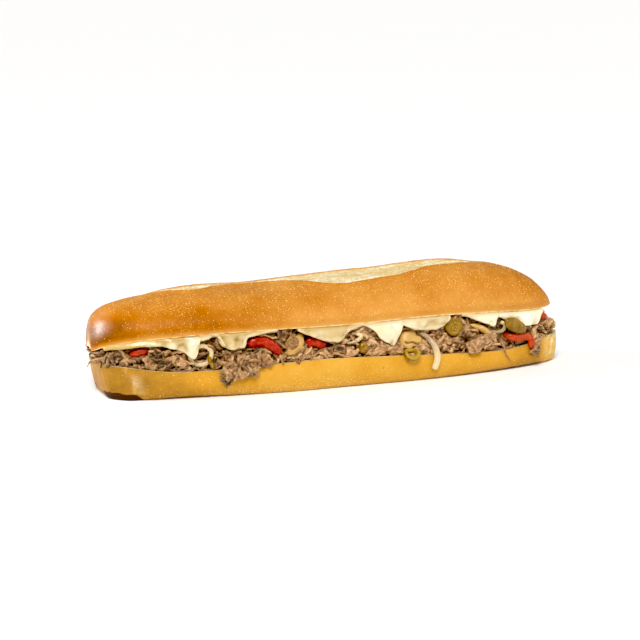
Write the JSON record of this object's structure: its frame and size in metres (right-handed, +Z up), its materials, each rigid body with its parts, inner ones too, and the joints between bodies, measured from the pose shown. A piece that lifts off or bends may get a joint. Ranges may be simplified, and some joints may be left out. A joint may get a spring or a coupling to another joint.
{
  "type": "submarine sandwich",
  "caption": "Long split roll filled with shaved steak, melted white cheese, peppers, mushrooms and onion, lying on its flat underside.",
  "frame": {"origin": "middle of the bounding box's footprint, on the plane that the underside rests on", "axes": "+X along the roll, towards the end where the filling shows most; -Y towards the front, where the opening faces; +Z up"},
  "size_m": [0.3183, 0.0864, 0.0683],
  "materials": {
    "golden_crust": "baked crust, golden brown, satin, with fine pale grains",
    "shaved_steak": "cooked shaved beef, grey brown, moist",
    "white_cheese": "melted white cheese, soft satin",
    "green_pepper": "cooked green pepper, olive, glossy",
    "red_pepper": "roasted red pepper, glossy",
    "cooked_mushroom": "cooked sliced mushroom, tan, satin",
    "cooked_onion": "cooked onion, pale, glossy and a little translucent"
  },
  "bodies": {
    "root": {"roll_top": "golden_crust", "roll_bottom": "golden_crust", "steak_filling": "shaved_steak", "cheese_a": "white_cheese", "cheese_b": "white_cheese", "cheese_c": "white_cheese", "cheese_d": "white_cheese", "cheese_e": "white_cheese", "cheese_f": "white_cheese", "cheese_g": "white_cheese", "green_pepper_1": "green_pepper", "green_pepper_2": "green_pepper", "green_pepper_3": "green_pepper", "green_pepper_4": "green_pepper", "green_pepper_5": "green_pepper", "green_pepper_6": "green_pepper", "mushroom_1": "cooked_mushroom", "mushroom_2": "cooked_mushroom", "mushroom_3": "cooked_mushroom", "mushroom_4": "cooked_mushroom", "onion_1": "cooked_onion", "onion_2": "cooked_onion", "onion_3": "cooked_onion", "onion_4": "cooked_onion", "onion_5": "cooked_onion", "onion_6": "cooked_onion", "red_pepper_1": "red_pepper", "red_pepper_2": "red_pepper", "red_pepper_3": "red_pepper", "red_pepper_4": "red_pepper", "red_pepper_5": "red_pepper", "red_pepper_6": "red_pepper", "red_pepper_7": "red_pepper"}
  },
  "joints": []
}
